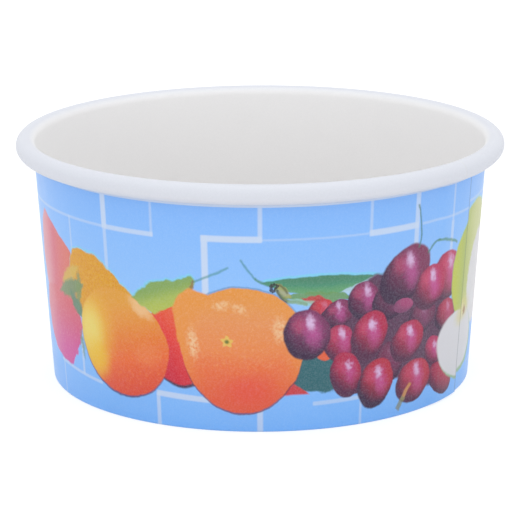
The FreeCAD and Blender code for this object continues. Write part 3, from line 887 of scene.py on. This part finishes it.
def print_group():
    """The wall's print: fruit on a ground of blue tiles, drawn in millimetres from the print's own middle."""
    t, _ = new_group("fruit_and_tile_print", [])
    parts = put(t, "SeparateXYZ", {0: put(t, "UVMap", uv_map="print_mm").outputs[0]}).outputs
    wrapped = calc(t, "WRAP", parts[0], REPEAT / 2, -REPEAT / 2)
    exact = put(t, "CombineXYZ", {0: wrapped, 1: parts[1]}).outputs[0]
    peel = noise(t, exact, scale=1.5, detail=3.0, roughness=0.6).outputs[0]
    middle = (0.5, 0.5, 0.5)
    fine = vector(t, "SUBTRACT", noise(t, exact, scale=1.3, detail=3.0).outputs["Color"], middle)
    wobble = vector(t, "SUBTRACT", noise(t, exact, scale=0.35, detail=3.0).outputs["Color"], middle)
    place = {"Exact": exact, "Peel": peel}
    place["Point"] = vector(t, "MULTIPLY_ADD", wobble, (STRAY, STRAY, 0.0), exact)
    place["Ragged"] = vector(t, "MULTIPLY_ADD", wobble, (RAGGED_STRAY, RAGGED_STRAY, 0.0), exact)
    place["Frayed"] = vector(t, "MULTIPLY_ADD", fine, (FRAYED_STRAY, FRAYED_STRAY, 0.0), place["Point"])
    sockets = [(name, "Float" if name == "Peel" else "Vector") for name in place]
    colour = SKY_MID
    for draw in (draw_tiles, draw_left_fruit, draw_tangerines, draw_bunch, draw_apple):
        group, given = new_group(draw.__name__.removeprefix("draw_"), [("Under", "Color"), *sockets])
        at = {name: given[name] for name in place}
        main = at["Exact"] if draw is draw_tiles else at["Point"]
        at["across"], at["up"] = part_of(group, main, 0), part_of(group, main, 1)
        give(group, draw(group, given["Under"], at))
        colour = use(t, group, {"Under": colour, **place})
    # Unprinted strip under the rim: bare board, its colour darkened as painted shade under the rim's overhang
    board = fade(t, part_of(t, exact, 1), TOP_OF_PRINT, TOP_OF_PRINT + EDGE_BLUR)
    colour = blend(t, board, colour, BARE_BOARD_IN_SHADE)
    # Painted shadow: a thin dark line along the seam, beside the cut edge of the outer layer
    way_round = 2 * REPEAT
    from_seam = calc(t, "WRAP", calc(t, "SUBTRACT", parts[0], SEAM * MM_PER_DEGREE), way_round, 0.0)
    seam_shadow = fade(t, from_seam, way_round - SEAM_SHADOW_START, way_round - SEAM_SHADOW_FULL)
    colour = tint(t, colour, seam_shadow, SEAM_SHADOW_STRENGTH, SEAM_SHADOW_INK)
    return give(t, colour)


def board_bump(tree, fibre, waves):
    """Bump of the board: its fibres, and the slow waves under its coating, both in millimetres deep."""
    place = vector(tree, "MULTIPLY", put(tree, "TexCoord").outputs["Object"], (1 / MM, 1 / MM, 1 / MM))
    fine = noise(tree, place, scale=3.2, detail=3.0, roughness=0.65).outputs[0]
    slow = noise(tree, place, scale=0.28, detail=1.0).outputs[0]
    bump = put(tree, "Bump", {"Height": slow, "Strength": 1.0, "Distance": waves * MM}).outputs[0]
    inputs = {"Height": fine, "Strength": 1.0, "Distance": fibre * MM, "Normal": bump}
    return put(tree, "Bump", inputs).outputs[0], fine, slow


def new_material(name):
    material = bpy.data.materials.new(name)
    material.use_nodes = True
    material.node_tree.nodes.clear()
    return material, material.node_tree


def finish_material(tree, inputs):
    shader = put(tree, "BsdfPrincipled", inputs)
    tree.links.new(shader.outputs[0], tree.nodes.new("ShaderNodeOutputMaterial").inputs["Surface"])


def printed_board():
    material, tree = new_material("printed_board")
    printed = use(tree, print_group(), {})
    bump, fine, slow = board_bump(tree, fibre=0.010, waves=0.03)
    grain = calc(tree, "MULTIPLY", fade(tree, fine, 0.35, 0.75), 0.07)
    colour = blend(tree, grain, printed, ink(226, 236, 250))
    roughness = put(tree, "MapRange", {"Value": slow, "To Min": 0.3, "To Max": 0.4}).outputs[0]
    inputs = {"Base Color": colour, "Roughness": roughness, "Specular IOR Level": 0.32, "Normal": bump}
    finish_material(tree, inputs)
    return material


def white_board():
    material, tree = new_material("white_board")
    bump, fine, _ = board_bump(tree, fibre=0.012, waves=0.015)
    # Rim and lining are one white board: the rim's colour is painted darker, as painted shade, and the
    # lining's lighter, as painted light for the cup's inside
    rim = ramp(tree, fine, (0.3, ink(212, 213, 218)), (0.7, ink(216, 217, 222)))
    lining_painted_lighter = ramp(tree, fine, (0.3, ink(236, 234, 232)), (0.7, ink(239, 237, 235)))
    place = put(tree, "TexCoord").outputs["Object"]
    from_axis = vector(tree, "LENGTH", vector(tree, "MULTIPLY", place, (1 / MM, 1 / MM, 0.0)))
    colour = blend(tree, fade(tree, from_axis, *LINING_LIGHT_ENDS), lining_painted_lighter, rim)
    roughness = put(tree, "MapRange", {"Value": fine, "To Min": 0.42, "To Max": 0.55}).outputs[0]
    inputs = {"Base Color": colour, "Roughness": roughness, "Specular IOR Level": 0.35, "Normal": bump}
    finish_material(tree, inputs)
    return material


def cut_edge():
    material, tree = new_material("cut_edge")
    bump, fine, _ = board_bump(tree, fibre=0.02, waves=0.0)
    colour = ramp(tree, fine, (0.3, ink(206, 204, 200)), (0.7, ink(226, 224, 220)))
    roughness = put(tree, "MapRange", {"Value": fine, "To Min": 0.8, "To Max": 0.95}).outputs[0]
    finish_material(tree, {"Base Color": colour, "Roughness": roughness, "Normal": bump})
    return material


def seen_directly(tree):
    """1 for the camera, and for what gloss and glass show of the surroundings."""
    path = put(tree, "LightPath").outputs
    either = calc(tree, "MAXIMUM", path["Is Camera Ray"], path["Is Glossy Ray"])
    return calc(tree, "MAXIMUM", either, path["Is Transmission Ray"])


def pale_floor():
    """A pale floor that is seen as white, and keeps a part of the cup's shadow."""
    glow, glow_share = 1.25, 0.6
    material, tree = new_material("pale_floor")
    lit = put(tree, "BsdfDiffuse", {"Color": ink(244, 244, 244)}).outputs[0]
    white = put(tree, "Emission", {"Color": (1, 1, 1, 1), "Strength": glow}).outputs[0]
    share = calc(tree, "MULTIPLY", seen_directly(tree), glow_share)
    mixed = put(tree, "MixShader", {0: share, 1: lit, 2: white}).outputs[0]
    tree.links.new(mixed, tree.nodes.new("ShaderNodeOutputMaterial").inputs["Surface"])
    mesh = bpy.data.meshes.new("table_top")
    reach = 3.0
    corners = [(-reach, -reach, 0), (reach, -reach, 0), (reach, reach, 0), (-reach, reach, 0)]
    mesh.from_pydata(corners, [], [(0, 1, 2, 3)])
    mesh.materials.append(material)
    made = bpy.data.objects.new("table_top", mesh)
    bpy.context.scene.collection.objects.link(made)


def studio_light():
    """Soft white light from all round, and three weak lamps: two in front and one above."""
    world = bpy.data.worlds.new("studio")
    world.use_nodes = True
    tree = world.node_tree
    tree.nodes.clear()
    soft = put(tree, "Background", {"Color": ink(247, 250, 255), "Strength": 0.98}).outputs[0]
    white = put(tree, "Background", {"Color": (1, 1, 1, 1), "Strength": 1.0}).outputs[0]
    mixed = put(tree, "MixShader", {0: seen_directly(tree), 1: soft, 2: white}).outputs[0]
    tree.links.new(mixed, tree.nodes.new("ShaderNodeOutputWorld").inputs["Surface"])
    bpy.context.scene.world = world
    aimed_at = Vector((0, 0, 0.02))
    for name, place, size, power in [
        ("key", (-0.5, -1.05, 0.2), 0.5, 1.1),
        ("fill", (0.8, -0.85, 0.2), 0.5, 0.7),
        ("top", (0.0, 0.1, 1.0), 0.8, 2.3),
    ]:
        lamp = bpy.data.lights.new(name, "AREA")
        lamp.shape = "DISK"
        lamp.size = size
        lamp.energy = power
        made = bpy.data.objects.new(name, lamp)
        made.location = place
        aim = aimed_at - made.location
        made.rotation_euler = aim.to_track_quat("-Z", "Y").to_euler()
        bpy.context.scene.collection.objects.link(made)


def photo_camera():
    """Looks at the cup from the front and a little above, as the photograph does."""
    elevation, roll = math.radians(14.75), math.radians(-0.22)
    distance, target = 0.520, Vector((0, 0, 0.0242))
    data = bpy.data.cameras.new("camera")
    data.sensor_width = 36.0
    data.lens = 180.6
    data.shift_x = -0.001
    data.shift_y = -0.0192
    made = bpy.data.objects.new("camera", data)
    spin = Matrix.Rotation(math.pi / 2 - elevation, 4, "X") @ Matrix.Rotation(roll, 4, "Z")
    place = target + Vector((0, -math.cos(elevation), math.sin(elevation))) * distance
    made.matrix_world = Matrix.Translation(place) @ spin
    bpy.context.scene.collection.objects.link(made)
    bpy.context.scene.camera = made


board_white = white_board()
wall = side_wall([printed_board(), board_white, cut_edge()])
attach(wall, "root")
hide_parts("side_wall")
floor = floor_disc([board_white])
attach(floor, "root")
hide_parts("base_disc")

pale_floor()
studio_light()
photo_camera()
bpy.context.scene.view_settings.view_transform = "Standard"
